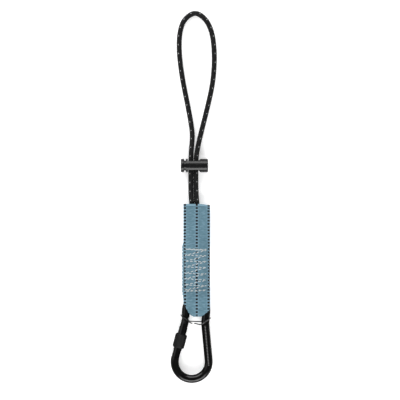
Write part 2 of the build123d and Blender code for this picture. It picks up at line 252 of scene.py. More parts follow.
def material_tree(name, **shader_values):
    """A material with a Principled shader, whose constant sockets are set here."""
    material = bpy.data.materials.new(name)
    material.use_nodes = True
    tree = material.node_tree
    tree.nodes.clear()
    shader = put(tree, "BsdfPrincipled")
    for key, value in shader_values.items():
        shader.inputs[key.replace("_", " ")].default_value = value
    output = put(tree, "OutputMaterial")
    tree.links.new(shader.outputs[0], output.inputs[0])
    return material, tree, shader


def start_group(name, inputs, outputs):
    """A node group with the given sockets: name to (kind, default), and name to kind."""
    group = bpy.data.node_groups.new(name, "ShaderNodeTree")
    for key, (kind, default) in inputs.items():
        socket = group.interface.new_socket(key, in_out="INPUT", socket_type="NodeSocket" + kind)
        if default is not None:
            socket.default_value = default
    for key, kind in outputs.items():
        group.interface.new_socket(key, in_out="OUTPUT", socket_type="NodeSocket" + kind)
    return group, group.nodes.new("NodeGroupInput"), group.nodes.new("NodeGroupOutput")


def use_group(tree, group, inputs):
    """The shared group as a node, with its inputs filled in."""
    return put(tree, "Group", inputs, node_tree=group)


# %% [markdown]
# ## Shared effects
# Two effects turn up on several pieces. Handling marks are soft patches where
# a surface is a little lighter and rougher. A fine grain is the texture of an
# anodised or moulded skin. Each is a group that puts out a mask or a normal.

# %% Handling marks
MARKS_FROM = 0.52           # noise level above which a patch shows

marks_group, marks_in, marks_out = start_group(
    "handling_marks",
    {"Scale": ("Float", 400.0), "Sharpness": ("Float", 4.0)},
    {"Mask": "Float"},
)
marks_place = put(marks_group, "TexCoord")
marks_noise = put(
    marks_group, "TexNoise",
    {"Vector": marks_place.outputs["Object"], "Scale": marks_in.outputs["Scale"], "Detail": 5.0},
)
marks_level = calc(marks_group, "SUBTRACT", marks_noise.outputs["Fac"], MARKS_FROM)
marks_steep = calc(marks_group, "MULTIPLY", marks_level, marks_in.outputs["Sharpness"])
marks_mask = put(marks_group, "Clamp", {"Value": marks_steep})
marks_group.links.new(marks_mask.outputs[0], marks_out.inputs["Mask"])

# %% Fine grain
grain_group, grain_in, grain_out = start_group(
    "fine_grain",
    {"Scale": ("Float", 3000.0), "Strength": ("Float", 0.2), "Depth": ("Float", 0.00004)},
    {"Normal": "Vector"},
)
grain_place = put(grain_group, "TexCoord")
grain_noise = put(
    grain_group, "TexNoise",
    {"Vector": grain_place.outputs["Object"], "Scale": grain_in.outputs["Scale"], "Detail": 2.0},
)
grain_bump = put(
    grain_group, "Bump",
    {
        "Height": grain_noise.outputs["Fac"],
        "Strength": grain_in.outputs["Strength"],
        "Distance": grain_in.outputs["Depth"],
    },
)
grain_group.links.new(grain_bump.outputs[0], grain_out.inputs["Normal"])
print("shared groups:", [group.name for group in bpy.data.node_groups])


# %% [markdown]
# ## Cord material
# The sheath is plaited from sixteen yarns, eight each way round. Turn and
# length on the surface give two slanted coordinates, one per direction, and
# the weave follows from their whole and fractional parts. Two of the yarns
# carry a reflective tracer, which comes to the surface at every fourth crossing
# and shows there as a pale fleck.

# %% Cord material
CORD_YARNS = 8              # yarns in each direction
CORD_CROSSING = 2.1         # mm along the cord from one crossing to the next
TRACER_EVERY = 4            # every fourth yarn of one direction is a tracer
FLECK_EVERY = 4             # and it comes to the surface at every fourth crossing
FLECK_WIDTH, FLECK_LENGTH = 0.5, 0.66       # shares of a yarn
YARN_DARK = (0.004, 0.004, 0.0045, 1)
YARN_LIGHT = (0.013, 0.013, 0.0135, 1)
FLECK_PALE = (0.36, 0.37, 0.37, 1)

cord_material, cord_tree, cord_shader = material_tree(
    "cord_braid", Specular_IOR_Level=0.12, Sheen_Weight=0.04, Sheen_Roughness=0.4
)
cord_uv = put(cord_tree, "UVMap", uv_map="surface")
cord_place = put(cord_tree, "SeparateXYZ", {0: cord_uv.outputs[0]})
cord_turns = calc(cord_tree, "MULTIPLY", cord_place.outputs[0], CORD_YARNS)
cord_steps = calc(cord_tree, "DIVIDE", cord_place.outputs[1], CORD_CROSSING)
yarn_one = calc(cord_tree, "ADD", cord_turns, cord_steps)
yarn_two = calc(cord_tree, "SUBTRACT", cord_turns, cord_steps)


def inside_yarn(tree, coordinate, width):
    """1 in the middle of each yarn, this share of its width, and 0 at its sides."""
    offset = calc(tree, "ABSOLUTE", calc(tree, "SUBTRACT", calc(tree, "FRACT", coordinate), 0.5))
    return calc(tree, "LESS_THAN", offset, width / 2)


def every(tree, whole_number, step):
    """1 where a whole number is a multiple of the step, and 0 elsewhere."""
    return calc(tree, "LESS_THAN", calc(tree, "FLOORED_MODULO", whole_number, step), 0.5)


is_tracer = every(cord_tree, calc(cord_tree, "FLOOR", yarn_one), TRACER_EVERY)
cell_sum = calc(
    cord_tree, "ADD", calc(cord_tree, "FLOOR", yarn_one), calc(cord_tree, "FLOOR", yarn_two)
)
on_top = every(cord_tree, cell_sum, FLECK_EVERY)
fleck_core = calc(
    cord_tree,
    "MULTIPLY",
    inside_yarn(cord_tree, yarn_one, FLECK_WIDTH),
    inside_yarn(cord_tree, yarn_two, FLECK_LENGTH),
)
fleck = calc(cord_tree, "MULTIPLY", calc(cord_tree, "MULTIPLY", is_tracer, on_top), fleck_core)
cord_noise = put(cord_tree, "TexNoise", {"Vector": cord_uv.outputs[0], "Scale": 2.2, "Detail": 3.0})
yarn_shade = color_ramp(cord_tree, cord_noise.outputs["Fac"], (0.35, YARN_DARK), (0.7, YARN_LIGHT))
cord_color = blend_colors(cord_tree, fleck, yarn_shade, FLECK_PALE)
cord_tree.links.new(cord_color, cord_shader.inputs["Base Color"])
cord_rough = calc(cord_tree, "SUBTRACT", 0.62, calc(cord_tree, "MULTIPLY", fleck, 0.3))
cord_tree.links.new(cord_rough, cord_shader.inputs["Roughness"])
fibre_wave = put(
    cord_tree, "TexWave", {"Vector": cord_uv.outputs[0], "Scale": 3.0, "Distortion": 1.5, "Detail": 1.0}
)
fibre_bump = put(
    cord_tree, "Bump", {"Height": fibre_wave.outputs["Fac"], "Strength": 0.25, "Distance": 0.05 * MM}
)
cord_tree.links.new(fibre_bump.outputs[0], cord_shader.inputs["Normal"])
print("cord:", 2 * CORD_YARNS, "yarns, a fleck every", CORD_CROSSING * FLECK_EVERY, "mm")

# %% [markdown]
# ## Cord loop
# The cord has one real length, and it lies on the floor except where the lock
# lifts it. Its line is a quadratic spline whose control points are listed: out
# of the strap, through the lock, round the loop and back. The sheath is a tube
# mesh along that line, so that the plait is real relief.

# %% Cord route
CORD_DIAMETER = 4.5
CORD_STEP = 0.35            # mm from one ring of the sheath to the next
CORD_ROUTE = [
    (0.1, 86.3, 3.85),
    (-0.7, 94.5, 6.5),
    (-0.85, 108.0, 6.65),
    (-0.8, 132.0, 6.65),
    (0.35, 145.0, 5.4),
    (0.8, 156.0, 3.5),
    (-3.4, 180.0, 2.5),
    (-8.6, 205.0, 2.5),
    (-11.9, 228.5, 2.5),
    (-12.3, 246.2, 2.5),
    (-9.8, 260.0, 2.5),
    (-4.7, 267.2, 2.5),
    (3.0, 271.6, 2.5),
    (10.3, 268.1, 2.5),
    (16.2, 261.2, 2.5),
    (20.7, 248.4, 2.5),
    (22.3, 226.5, 2.5),
    (20.4, 202.0, 2.5),
    (14.6, 177.0, 2.5),
    (9.3, 156.0, 3.5),
    (6.6, 144.5, 5.4),
    (4.05, 131.0, 6.65),
    (4.05, 108.0, 6.65),
    (4.25, 94.5, 6.5),
    (5.1, 86.3, 3.85),
]


def spline_line(name, route):
    """Points of the smooth NURBS line with this route as its control points, in metres."""
    curve = bpy.data.curves.new(name, "CURVE")
    curve.dimensions = "3D"
    spline = curve.splines.new("NURBS")
    spline.points.add(len(route) - 1)
    weighted = np.hstack([np.array(route) * MM, np.ones((len(route), 1))])
    spline.points.foreach_set("co", weighted.astype(np.float32).ravel())
    spline.order_u = 3
    spline.use_endpoint_u = True
    curve.resolution_u = 24
    holder = bpy.data.objects.new(name, curve)
    bpy.context.scene.collection.objects.link(holder)
    mesh = bpy.data.meshes.new_from_object(holder)
    line = np.zeros(len(mesh.vertices) * 3)
    mesh.vertices.foreach_get("co", line)
    bpy.data.objects.remove(holder)
    bpy.data.curves.remove(curve)
    bpy.data.meshes.remove(mesh)
    return line.reshape(-1, 3)


cord_line = evenly(spline_line("cord_line", CORD_ROUTE), CORD_STEP * MM)
print("cord line is", round(lengths_along(cord_line)[-1] / MM, 1), "mm long")


# %% Cord sheath
BRAID_RELIEF = 0.13         # mm from the crown of a yarn to the crossings
CROWN_RADIUS = CORD_DIAMETER / 2 + 0.24     # the crowns stand proud of the nominal size


def braid_radius(along, turn):
    """Cord radius less the plait's relief: the higher of two slanted cosines, one for each way round."""
    slant = 2 * np.pi * along / MM / CORD_CROSSING
    one = np.cos(2 * np.pi * CORD_YARNS * turn + slant)
    two = np.cos(2 * np.pi * CORD_YARNS * turn - slant)
    crown = (np.maximum(one, two) + 1) / 2
    return (CROWN_RADIUS - BRAID_RELIEF * (1 - crown)) * MM


cord_loop = tube("cord_sheath", cord_line, 64, braid_radius, cord_material)
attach(cord_loop, "strap")
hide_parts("cord_loop")

# %% Cord ends in the pocket
for side, top_point in (("left", CORD_ROUTE[0]), ("right", CORD_ROUTE[-1])):
    low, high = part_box("cord_tail_" + side)
    foot = (high.x - CORD_DIAMETER / 2 * MM, low.y, (low.z + high.z) / 2)
    ends = np.array([np.array(top_point) * MM, foot])
    tail_line = evenly(ends, CORD_STEP * MM)
    tail = tube("cord_end_" + side, tail_line, 48, braid_radius, cord_material)
    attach(tail, "strap")
    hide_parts("cord_tail_" + side)

# %% [markdown]
# ## Webbing material
# Webbing is warp threads held by a weft that turns at each edge. Surface
# coordinates are millimetres: across the strap from its middle, and along the
# strip from one end to the other. Three dark tracer threads float over every
# second weft, which shows as three dotted lines. Painted shade darkens the
# hollows of the weave and the bands between the weft ribs. The edges, where the
# weft turns, carry a painted highlight. Painted shade and painted highlight lie
# across the strap for the small creases of the cloth, and they are stronger
# where it is sewn.

# %% Webbing material
TRACER_PLACES = (-11.0, 0.25, 11.6)         # mm from the middle of the strap
TRACER_PITCH = 3.05
TRACER_FLOAT = 1.8          # length of each dark float
TRACER_WIDTH = 2.2
HEM = 1.9                   # folded over at the top of the front layer
WARP_PITCH = 0.85
WEFT_PITCH = 1.525
HERRINGBONE = 0.45          # how steeply the weft runs away from the middle
# the painted crease shade and highlight are stronger in the sewn part
PUCKER_START, PUCKER_END = 38.0, 46.0       # mm along, where the sewn part begins
PUCKER_STRENGTH = 1.9       # how much stronger the streaks are there
# ends of the thread ramp: the dark end carries painted shade in the weave's hollows as well as darker
# thread
THREAD_DARK_AND_SHADED = (0.075, 0.150, 0.195, 1)
THREAD_LIGHT_AND_LIT = (0.165, 0.275, 0.335, 1)
# painted shade between the weft ribs
PAINTED_RIB_SHADE = (0.085, 0.17, 0.22, 1)
# painted shade in the creases, and painted highlight on their ridges
PAINTED_CREASE_SHADE = (0.085, 0.17, 0.225, 1)
PAINTED_CREASE_HIGHLIGHT = (0.22, 0.385, 0.475, 1)
PATCH_DARK = (0.10, 0.19, 0.235, 1)
BAND_LIGHT = (0.21, 0.35, 0.44, 1)          # beside the tracers
# painted highlight on the folded hem, and painted shadow in the line under it
PAINTED_HEM_HIGHLIGHT = (0.25, 0.42, 0.52, 1)
PAINTED_HEM_SHADOW = (0.05, 0.11, 0.16, 1)
# painted highlight along the edges, where the weft turns
PAINTED_EDGE_HIGHLIGHT = (0.235, 0.37, 0.45, 1)
TRACER_DARK = (0.004, 0.002, 0.002, 1)

webbing_material, webbing_tree, webbing_shader = material_tree(
    "webbing_weave", Specular_IOR_Level=0.2, Sheen_Weight=0.08, Sheen_Roughness=0.35
)
webbing_uv = put(webbing_tree, "UVMap", uv_map="surface")
webbing_place = put(webbing_tree, "SeparateXYZ", {0: webbing_uv.outputs[0]})
across_mm, along_mm = webbing_place.outputs[0], webbing_place.outputs[1]


def stripes(tree, coordinate, pitch, shift=0.0):
    """A smooth wave from 0 to 1 and back, once in each pitch."""
    turns = calc(tree, "MULTIPLY_ADD", coordinate, 2 * math.pi / pitch, shift)
    return calc(tree, "MULTIPLY_ADD", calc(tree, "COSINE", turns), 0.5, 0.5)


warp_wave = stripes(webbing_tree, across_mm, WARP_PITCH)
herringbone = calc(webbing_tree, "ABSOLUTE", across_mm)
weft_place = calc(webbing_tree, "MULTIPLY_ADD", herringbone, HERRINGBONE, along_mm)
weft_wave = stripes(webbing_tree, weft_place, WEFT_PITCH)
weft_share = calc(webbing_tree, "MULTIPLY_ADD", weft_wave, 0.6, 0.4)
weave_height = calc(webbing_tree, "MULTIPLY", warp_wave, weft_share)

def near_tracers(mask_of):
    """The strongest of one mask round each tracer; mask_of turns the distance from it into the mask."""
    strongest = None
    for place in TRACER_PLACES:
        offset = calc(webbing_tree, "ABSOLUTE", calc(webbing_tree, "SUBTRACT", across_mm, place))
        mask = mask_of(offset)
        strongest = mask if strongest is None else calc(webbing_tree, "MAXIMUM", strongest, mask)
    return strongest


tracer_mask = near_tracers(lambda offset: calc(webbing_tree, "LESS_THAN", offset, TRACER_WIDTH / 2))
float_place = calc(webbing_tree, "FLOORED_MODULO", along_mm, TRACER_PITCH)
float_mask = calc(webbing_tree, "LESS_THAN", float_place, TRACER_FLOAT)
tracer_mask = calc(webbing_tree, "MULTIPLY", tracer_mask, float_mask)

# colours of the threads with painted shade in the weave, then painted crease shade and painted crease
# highlight across the strap where the cloth puckers
surface_place = webbing_uv.outputs[0]
thread_noise = put(
    webbing_tree,
    "TexNoise",
    {"Vector": surface_place, "Scale": 1.3, "Detail": 4.0, "Roughness": 0.6},
)
broad_noise = put(webbing_tree, "TexNoise", {"Vector": surface_place, "Scale": 0.07, "Detail": 2.0})
# thread colour: painted shade in the hollows of the weave, taken from its height, mixed with a random tone
# of the threads
thread_half = calc(webbing_tree, "MULTIPLY", thread_noise.outputs["Fac"], 0.5)
weave_shade_and_tone = calc(webbing_tree, "MULTIPLY_ADD", weave_height, 0.5, thread_half)
threads = color_ramp(webbing_tree, weave_shade_and_tone, (0.15, THREAD_DARK_AND_SHADED), (0.85, THREAD_LIGHT_AND_LIT))
streak_place = put(webbing_tree, "Mapping", {"Vector": surface_place, "Scale": (0.28, 1.0, 1.0)})
streak_noise = put(
    webbing_tree, "TexNoise", {"Vector": streak_place.outputs[0], "Scale": 0.8, "Detail": 3.0}
)
# painted shade of the creases, stronger where the strap is sewn
crease_shade_mask = ramp(webbing_tree, streak_noise.outputs["Fac"], 0.5, 0.68, 0.0, 0.62)
pucker = ramp(webbing_tree, along_mm, PUCKER_START, PUCKER_END, 1.0, PUCKER_STRENGTH)
crease_shade_mask = calc(webbing_tree, "MULTIPLY", crease_shade_mask, pucker)
# painted shade in a band between each pair of weft ribs
rib_shade_mask = calc(webbing_tree, "MULTIPLY", stripes(webbing_tree, along_mm, WEFT_PITCH), 0.7)
cloth = blend_colors(webbing_tree, rib_shade_mask, threads, PAINTED_RIB_SHADE)
cloth = blend_colors(webbing_tree, crease_shade_mask, cloth, PAINTED_CREASE_SHADE)
# painted highlight on the ridges of the creases
lights = ramp(webbing_tree, streak_noise.outputs["Fac"], 0.5, 0.34, 0.0, 0.45)
cloth = blend_colors(webbing_tree, lights, cloth, PAINTED_CREASE_HIGHLIGHT)
patches = calc(webbing_tree, "MULTIPLY", broad_noise.outputs["Fac"], 0.35)
cloth = blend_colors(webbing_tree, patches, cloth, PATCH_DARK)

# a lighter band beside each tracer, painted highlight on the folded hem and painted shadow in a line under
# it, a painted highlight along the edges, the tracers
bands = near_tracers(lambda offset: ramp(webbing_tree, offset, 1.2, 2.1, 0.45, 0.0))
cloth = blend_colors(webbing_tree, bands, cloth, BAND_LIGHT)
# painted highlight on the folded hem
hem_highlight_mask = ramp(webbing_tree, along_mm, HEM, HEM + 0.15, 0.5, 0.0)
cloth = blend_colors(webbing_tree, hem_highlight_mask, cloth, PAINTED_HEM_HIGHLIGHT)
# painted shadow in a thin line under the hem
hem_offset = calc(webbing_tree, "ABSOLUTE", calc(webbing_tree, "SUBTRACT", along_mm, HEM + 0.45))
hem_shadow_mask = ramp(webbing_tree, hem_offset, 0.2, 0.5, 0.6, 0.0)
cloth = blend_colors(webbing_tree, hem_shadow_mask, cloth, PAINTED_HEM_SHADOW)
# painted highlight along both edges of the strap
edge_highlight_mask = ramp(webbing_tree, calc(webbing_tree, "ABSOLUTE", across_mm), 11.9, 12.6, 0.0, 0.55)
cloth = blend_colors(webbing_tree, edge_highlight_mask, cloth, PAINTED_EDGE_HIGHLIGHT)
cloth = blend_colors(webbing_tree, tracer_mask, cloth, TRACER_DARK)
webbing_tree.links.new(cloth, webbing_shader.inputs["Base Color"])
webbing_rough = calc(webbing_tree, "MULTIPLY_ADD", thread_noise.outputs["Fac"], 0.2, 0.62)
webbing_tree.links.new(webbing_rough, webbing_shader.inputs["Roughness"])
webbing_bump = put(webbing_tree, "Bump", {"Height": weave_height, "Strength": 0.55, "Distance": 0.14 * MM})
webbing_tree.links.new(webbing_bump.outputs[0], webbing_shader.inputs["Normal"])

# %% [markdown]
# ## Strap
# One strip makes the whole strap: down the front, over the eye of the
# carabiner, through the eye in a squeezed fold, and back up behind. Its middle
# line is worked out first, then the width and the bulge over the cord ends at
# each place along it, and last the thickness.

# %% Strap sizes
strap_low, strap_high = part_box("webbing_strap")
STRAP_WIDTH = (strap_high.x - strap_low.x) / MM
STRAP_MIDDLE = (strap_high.x + strap_low.x) / 2 / MM
STRAP_TOP = strap_high.y / MM
STRAP_TIP = strap_low.y / MM
WEBBING = 1.5
BAR_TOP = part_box("carabiner_frame")[1].z / MM
BAR_ROOM, CORD_ROOM = 0.4, 0.2              # between the webbing and what it covers
OVER_BAR = BAR_TOP + BAR_ROOM + WEBBING / 2         # middle of the webbing above the bar
ON_FLOOR = WEBBING / 2
POCKET = WEBBING + CORD_DIAMETER + CORD_ROOM + WEBBING / 2      # and above the cord ends
STITCH_TOP, STITCH_BOTTOM = 42.6, 2.6
ROW_PITCH = 5.75            # from one row of stitches to the next
LINE_POINTS, FOLD_POINTS = 700, 90
STRAP_STEP = 0.5            # mm along the strip from one ring to the next
CORD_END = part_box("cord_tail_left")[0].y / MM
print("strap", round(STRAP_WIDTH, 1), "mm wide, middle at x =", round(STRAP_MIDDLE, 2))


def smooth(value, start, stop):
    """0 before start, 1 after stop, and an even slope between: 3 t^2 - 2 t^3."""
    t = np.clip((value - start) / (stop - start), 0, 1)
    return t * t * (3 - 2 * t)


# %% Middle line of the strip
def front_height(y):
    """Middle of the front layer: level over the cord ends, then a smooth step up and over the bar."""
    return POCKET + (OVER_BAR - POCKET) * smooth(-y, -5.0, 5.0)


def strip_line():
    """(n, 2) of Y and Z: front layer down to the bar, half a circle at the fold, back layer up again."""
    fold_radius = (OVER_BAR - ON_FLOOR) / 2
    fold_center = STRAP_TIP + WEBBING / 2 + fold_radius
    front = np.linspace(STRAP_TOP, fold_center, LINE_POINTS)
    front_z = front_height(front)
    bend = np.linspace(0, np.pi, FOLD_POINTS)[1:-1]
    fold_y = fold_center - fold_radius * np.sin(bend)
    fold_z = ON_FLOOR + fold_radius * (1 + np.cos(bend))
    back = np.linspace(fold_center, STRAP_TOP, LINE_POINTS)
    y = np.concatenate([front, fold_y, back])
    z = np.concatenate([front_z, fold_z, np.full(LINE_POINTS, ON_FLOOR)])
    line = np.stack([np.zeros_like(y), y, z], -1)
    return evenly(line * MM, STRAP_STEP * MM)[:, 1:] / MM




# %% Edges of the strip
SELVEDGE = 0.5              # the soft outer loop of the weft, on the right
DRAWN_IN_LEFT, DRAWN_IN_RIGHT = 0.75, 0.5   # by the stitches, in front
STANDS_OUT = 1.35           # the back layer beyond the front, on the left
RIPPLE = 0.3                # how far each row of stitches pulls an edge to and fro
RIPPLE_BEHIND = 0.6         # share of it that the back layer loses


def edge_ripple(y):
    """Pull of the stitches on an edge: ripple times cos(2 pi y / pitch), in the stitched part only."""
    stitched = smooth(y, -1.0, 6.0) * (1 - smooth(y, STITCH_TOP - 3.0, STITCH_TOP + 4.0))
    return RIPPLE * stitched * np.cos(2 * np.pi * y / ROW_PITCH)


def gathered(y, is_back):
    """1 where the stitches draw the front layer in, and 0 away from them and behind."""
    return smooth(y, -2.0, 10.0) * (1 - smooth(y, STITCH_TOP - 8, STITCH_TOP + 5)) * (1 - is_back)


def edge_left(y, is_back):
    """X of the left edge: drawn in at the stitches, standing out behind, and in to the fold's tip."""
    straight = STRAP_MIDDLE - STRAP_WIDTH / 2
    drawn_in = DRAWN_IN_LEFT * gathered(y, is_back)
    beside_stitches = smooth(y, -8.0, 2.0) * (1 - smooth(y, STITCH_TOP + 3, STITCH_TOP + 7))
    stands_out = STANDS_OUT * beside_stitches * is_back
    slope = np.clip((-y - 9.2) / 8.8, 0, None) * 4.9
    tip = 3.4 * np.clip((-y - 18.0) / 4.5, 0, 1) ** 2.2
    ripple = edge_ripple(y) * (1 - RIPPLE_BEHIND * is_back)
    return straight + drawn_in - stands_out + slope + tip + ripple


def edge_right(y, is_back):
    """X of the right edge: drawn in at the stitches, and in to the fold's tip in a smooth round."""
    straight = STRAP_MIDDLE + STRAP_WIDTH / 2 + SELVEDGE
    drawn_in = DRAWN_IN_RIGHT * gathered(y, is_back)
    tip = 9.3 * np.clip((-y - 15.0) / 7.4, 0, 1) ** 1.2
    ripple = edge_ripple(y + 2.1) * (1 - RIPPLE_BEHIND * is_back)
    return straight - drawn_in - tip + ripple


print("strip is", round(lengths_along(np.pad(strip_line(), ((0, 0), (0, 1))))[-1]), "mm long")


# %% Bulge over the cord ends
PINCH = 0.35                # how deep each row of stitches draws the cloth in over the cords
PINCH_PITCH = 5.9


def over_cords(x, y):
    """1 above the cord ends, falling away to 0 at the strap's edges and below the ends of the cords."""
    drift = 1.6 * (STRAP_TOP - y) / STRAP_TOP
    low_x, high_x = drift - 2.4, drift + 8.0
    edge_x = STRAP_WIDTH / 2 + 0.5
    rise = smooth(x, STRAP_MIDDLE - edge_x, low_x + 0.8)
    fall = 1 - smooth(x, high_x - 0.8, STRAP_MIDDLE + edge_x)
    hump = rise * fall
    return hump * smooth(y, CORD_END - 9.0, CORD_END + 3.0)


def layer_height(x, y, front_z):
    """Height of the front layer's middle: front_z, less its drop to the back layer where it is sewn."""
    sewn = smooth(y, -4.0, 14.0) * (1 - 0.88 * smooth(y, STITCH_TOP + 2.0, STITCH_TOP + 26.0))
    touching = ON_FLOOR + WEBBING + 0.05
    drop = (front_z - touching) * sewn * (1 - over_cords(x, y))
    pinch = PINCH * sewn * np.cos(2 * np.pi * (y - STITCH_TOP) / PINCH_PITCH) * smooth(y, 3.0, 8.0)
    pinch = pinch * (1 - smooth(y, STITCH_TOP - 2.0, STITCH_TOP + 1.0)) * over_cords(x, y)
    return front_z - drop - np.clip(pinch, 0, None)


# %% Strap surface
COLUMNS = 88
SCALLOP = 0.22              # loops of the weft along the edges
SLANT_TOP = 1.0             # the top end is cut a little lower on the right
SAG = 0.5                   # hollow across the strap between the bar's two legs
WEAVE_RELIEF, WARP_WAVE = 0.05, 1.7
HEM_RISE, HEM_DIP = 0.35, 0.25
EDGE_THINNING = 0.45        # share of the half thickness lost at the very edge
FLOOR_ROOM = 0.02


def strap_rings():
    """Rings across the strip: the outer face from edge to edge, then the inner face back.

    Each face lies half the thickness from the middle surface, along that surface's normal."""
    line = strip_line()
    y, z = line[:, :1], line[:, 1:]
    along = lengths_along(np.pad(line, ((0, 0), (0, 1))))[:, None]
    share = np.linspace(-1, 1, COLUMNS)[None, :]
    half = len(line) // 2
    is_back = smooth(np.arange(len(line))[:, None], half - 12, half + 12)
    left, right = edge_left(y, is_back), edge_right(y, is_back)
    scallop = SCALLOP * np.cos(2 * np.pi * (along - TRACER_FLOAT / 2) / TRACER_PITCH)
    near_edge = np.clip(np.abs(share) * 6 - 5, 0, 1)
    x = left + (right - left) * (share + 1) / 2 + np.sign(share) * near_edge * scallop
    is_front = (np.arange(len(line)) < half)[:, None] & (y > STRAP_TIP + 5.8)
    middle_z = np.where(is_front, layer_height(x, y, z), z)
    slant_top = SLANT_TOP * smooth(x, 8.0, 17.0) * smooth(y, STRAP_TOP - 6, STRAP_TOP)
    middle_y = np.broadcast_to(y, x.shape) - slant_top
    raised = (z - ON_FLOOR) / (OVER_BAR - ON_FLOOR)
    middle_z = middle_z - SAG * np.sin(np.pi * (share + 1) / 2) * smooth(-y, 6.0, 14.0) * raised
    middle = np.stack([x, middle_y, middle_z], -1)
    down = np.gradient(middle, axis=0)
    outwards = np.cross(np.gradient(middle, axis=1), down)
    outwards /= np.linalg.norm(outwards, axis=2, keepdims=True)
    outwards *= np.sign(outwards[10, COLUMNS // 2, 2])
    flat_x = x - STRAP_MIDDLE
    waves = np.cos(2 * np.pi * flat_x / WARP_WAVE) * np.cos(2 * np.pi * along / WEFT_PITCH)
    weave = WEAVE_RELIEF * waves
    seam_dip = HEM_DIP * np.exp(-(((along - HEM - 0.5) / 0.35) ** 2))
    hem = HEM_RISE * (1 - smooth(along, HEM - 0.2, HEM + 0.3)) - seam_dip
    plain = WEBBING / 2 * (1 - EDGE_THINNING * near_edge**2)
    outer = middle + outwards * (plain + weave * (1 - near_edge) + hem)[..., None]
    inner = middle - outwards * plain[..., None]
    rings = np.concatenate([outer, inner[:, ::-1]], axis=1)
    rings[..., 2] = np.maximum(rings[..., 2], FLOOR_ROOM)
    flat_u = np.concatenate([flat_x, flat_x[:, ::-1]], axis=1)
    uv = np.stack([flat_u, np.broadcast_to(along, flat_u.shape)], -1)
    return rings * MM, np.concatenate([uv, uv[:, :1]], axis=1)


strap = closed_mesh("webbing", *strap_rings(), webbing_material)
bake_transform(strap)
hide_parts("webbing_strap")

# %% [markdown]
# ## Zigzag stitching
# A pale thread runs from edge to edge and back, through both layers and the
# cord ends. Each stitch lies on top for about two and a half millimetres and
# then dips into the cloth. The first and last rows are sewn over again. The
# thread follows the same height formula as the strap, so it hugs the cloth.

# %% Stitching material
thread_material, thread_tree, thread_shader = material_tree(
    "pale_thread", Specular_IOR_Level=0.3, Sheen_Weight=0.1, Roughness=0.55
)
thread_uv = put(thread_tree, "UVMap", uv_map="surface")
thread_place = put(thread_tree, "SeparateXYZ", {0: thread_uv.outputs[0]})
PLIES = 3.0                 # turns of the twist seen round the thread
TWIST_RATE = 2.2            # and along each millimetre of it
ply_round = calc(thread_tree, "MULTIPLY", thread_place.outputs[0], PLIES)
twist = calc(thread_tree, "MULTIPLY_ADD", thread_place.outputs[1], TWIST_RATE, ply_round)
ply = stripes(thread_tree, twist, 1.0)
PLY_SHADE, PLY_LIGHT = (0.32, 0.37, 0.39, 1), (0.68, 0.71, 0.71, 1)
thread_color = blend_colors(thread_tree, ply, PLY_SHADE, PLY_LIGHT)
thread_tree.links.new(thread_color, thread_shader.inputs["Base Color"])
thread_bump = put(thread_tree, "Bump", {"Height": ply, "Strength": 0.6, "Distance": 0.1 * MM})
thread_tree.links.new(thread_bump.outputs[0], thread_shader.inputs["Normal"])


# %% Stitching path
STITCH_LEFT, STITCH_RIGHT = -6.4, 13.8
ROW_FALL = 0.7              # how much lower a row ends on the right
ROWS_BETWEEN = 6            # single rows between the two double ones
UNEVEN = 0.35               # how far a turning point may stray
STITCH_LENGTH = 3.9
STITCH_SLANT = 0.28         # each stitch lies a little across its row
THREAD = 0.78
THREAD_STEP = 0.12


def zigzag_corners(seed):
    """Turning points of the thread: a double row, six rows to and fro, and a double row."""
    noise = np.random.default_rng(seed)
    corners = [(STITCH_LEFT, STITCH_TOP), (STITCH_RIGHT, STITCH_TOP - ROW_FALL)]
    corners += [(STITCH_RIGHT - 0.4, STITCH_TOP - 0.2), (STITCH_LEFT + 0.5, STITCH_TOP + 0.55)]
    corners += [(STITCH_RIGHT, STITCH_TOP - ROW_FALL - 0.4)]
    for row in range(1, ROWS_BETWEEN + 1):
        y = STITCH_TOP - row * ROW_PITCH
        corners += [(STITCH_LEFT, y), (STITCH_RIGHT, y - ROW_FALL)]
    corners += [(STITCH_LEFT, STITCH_BOTTOM + 0.3), (STITCH_RIGHT, STITCH_BOTTOM)]
    corners += [(STITCH_LEFT + 0.8, STITCH_BOTTOM - 0.4), (STITCH_RIGHT - 0.5, STITCH_BOTTOM + 0.7)]
    corners = np.array(corners)
    return corners + noise.uniform(-UNEVEN, UNEVEN, corners.shape)


def strap_face(x, y):
    """Height of the strap's front face."""
    return layer_height(x, y, front_height(y)) + WEBBING / 2


corners = zigzag_corners(seed=4)
flat_line = evenly(np.pad(corners, ((0, 0), (0, 1))), THREAD_STEP)
stitch_along = lengths_along(flat_line)
in_stitch = (stitch_along / STITCH_LENGTH) % 1.0
lift = np.maximum(np.sin(np.pi * in_stitch) * 3.6 - 3.0, -1.8)
slants = np.random.default_rng(11).uniform(-0.5, 1.5, int(stitch_along[-1] / STITCH_LENGTH) + 1)
slant = STITCH_SLANT * slants[(stitch_along / STITCH_LENGTH).astype(int)]
flat_line[:, 1] += slant * np.sin(2 * np.pi * in_stitch)
flat_line[:, 2] = strap_face(flat_line[:, 0], flat_line[:, 1]) + lift * THREAD / 2
top_thread = tube(
    "zigzag_thread", flat_line * MM, 8, lambda along, turn: THREAD / 2 * MM, thread_material
)
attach(top_thread, "strap")
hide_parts("zigzag_stitching")

# %% [markdown]
# ## Screw sleeve
# The sleeve is a turned tube with a diamond knurl. Two families of grooves
# wind round it in opposite directions, and where they cross they leave small
# pyramids. The surface is a closed profile, bore and outside, turned about
# the gate, with the pyramids added to the radius.

